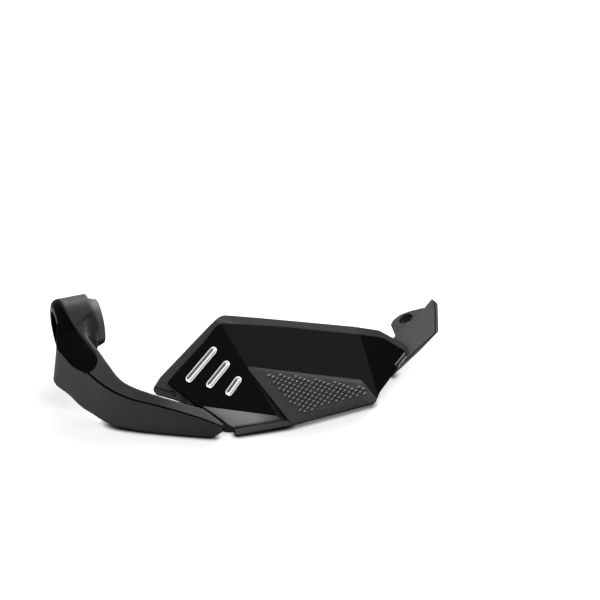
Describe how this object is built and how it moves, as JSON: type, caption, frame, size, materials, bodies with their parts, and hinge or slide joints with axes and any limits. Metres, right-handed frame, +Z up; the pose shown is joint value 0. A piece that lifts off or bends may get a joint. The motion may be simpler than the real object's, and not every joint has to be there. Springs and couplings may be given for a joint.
{
  "type": "motorcycle hand guard",
  "caption": "Left hand guard: bar end ring with a swept arm, faceted shield with a knurled pad and metal accents, and an inner bracket with a bolt lug.",
  "frame": {"origin": "centre of the ring's bore on its outboard face", "axes": "+X inboard along the handlebar, +Y to the rider, +Z up"},
  "size_m": [0.3102, 0.1607, 0.0665],
  "materials": {
    "arm_grey": "satin",
    "inlay_black": "semi-gloss",
    "rim_grey": "matt",
    "shell_black": "satin",
    "pad_grey": "matt",
    "accent_metal": "polished",
    "bracket_grey": "matt",
    "bush_steel": "brushed",
    "screw_steel": "zinc plated",
    "insert_brass": "plain"
  },
  "bodies": {
    "root": {"bar_end_arm": "arm_grey", "arm_inlay": "inlay_black", "inlay_screws": "screw_steel", "backing_frame": "rim_grey", "shield_skin": "shell_black", "knurled_pad": "pad_grey", "pad_clips": "screw_steel", "accent_long": "accent_metal", "accent_middle": "accent_metal", "accent_short": "accent_metal", "accent_clips": "screw_steel", "inner_bracket": "bracket_grey", "lug_bush": "bush_steel", "skin_screws": "screw_steel", "arm_bolts": "screw_steel", "arm_washers": "bush_steel", "arm_inserts": "insert_brass", "bracket_bolts": "screw_steel", "bracket_washers": "bush_steel", "bracket_inserts": "insert_brass"}
  },
  "joints": []
}
